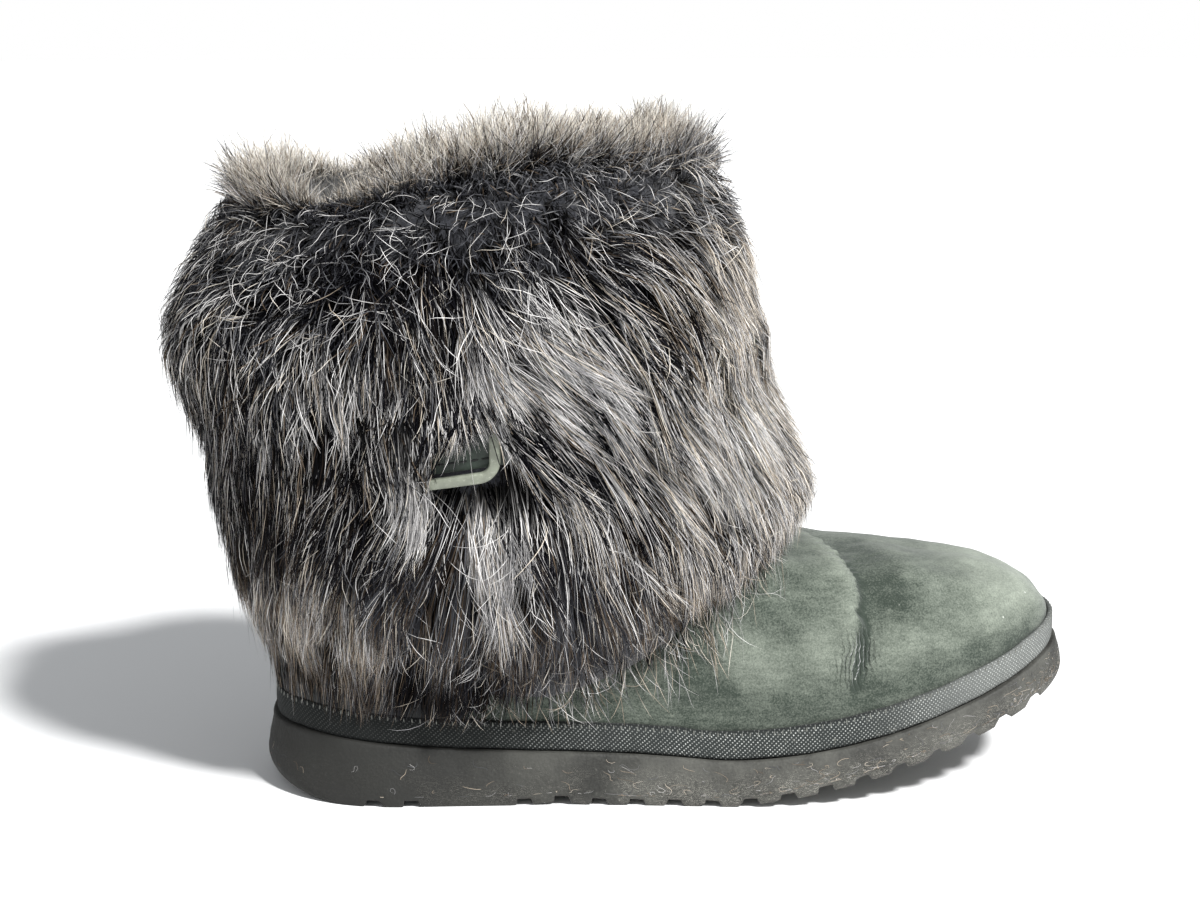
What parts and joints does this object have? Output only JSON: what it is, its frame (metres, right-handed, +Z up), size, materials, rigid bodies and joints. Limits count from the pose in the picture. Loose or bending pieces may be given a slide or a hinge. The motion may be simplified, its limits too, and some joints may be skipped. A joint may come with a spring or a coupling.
{
  "type": "fur-cuffed leather ankle boot",
  "caption": "Low right-foot boot: lined nubuck foot, thick foam sole with toe spring, woven binding tape, deep fur shaft with a buckled strap.",
  "frame": {"origin": "centre of the boot's bounding box in plan, on the floor it stands on", "axes": "+X from heel to toe, +Y to the inner side of the foot, +Z up"},
  "size_m": [0.303, 0.147, 0.2173],
  "materials": {
    "sole_foam": "matt foam, scuffed and dusty",
    "woven_tape": "ribbed woven tape, dull",
    "nubuck": "soft green-grey nap with worn pale patches",
    "footbed_pile": "short dense pile",
    "fur": "long fur, black underwool with silver and tan tips",
    "strap_leather": "smooth matt leather, stitched",
    "buckle_metal": "matt pale khaki coating, lightly worn"
  },
  "bodies": {
    "root": {"sole": "sole_foam", "binding_tape": "woven_tape", "upper": "nubuck", "insole": "footbed_pile", "shaft": "fur", "strap": "strap_leather", "buckle": "buckle_metal"}
  },
  "joints": []
}
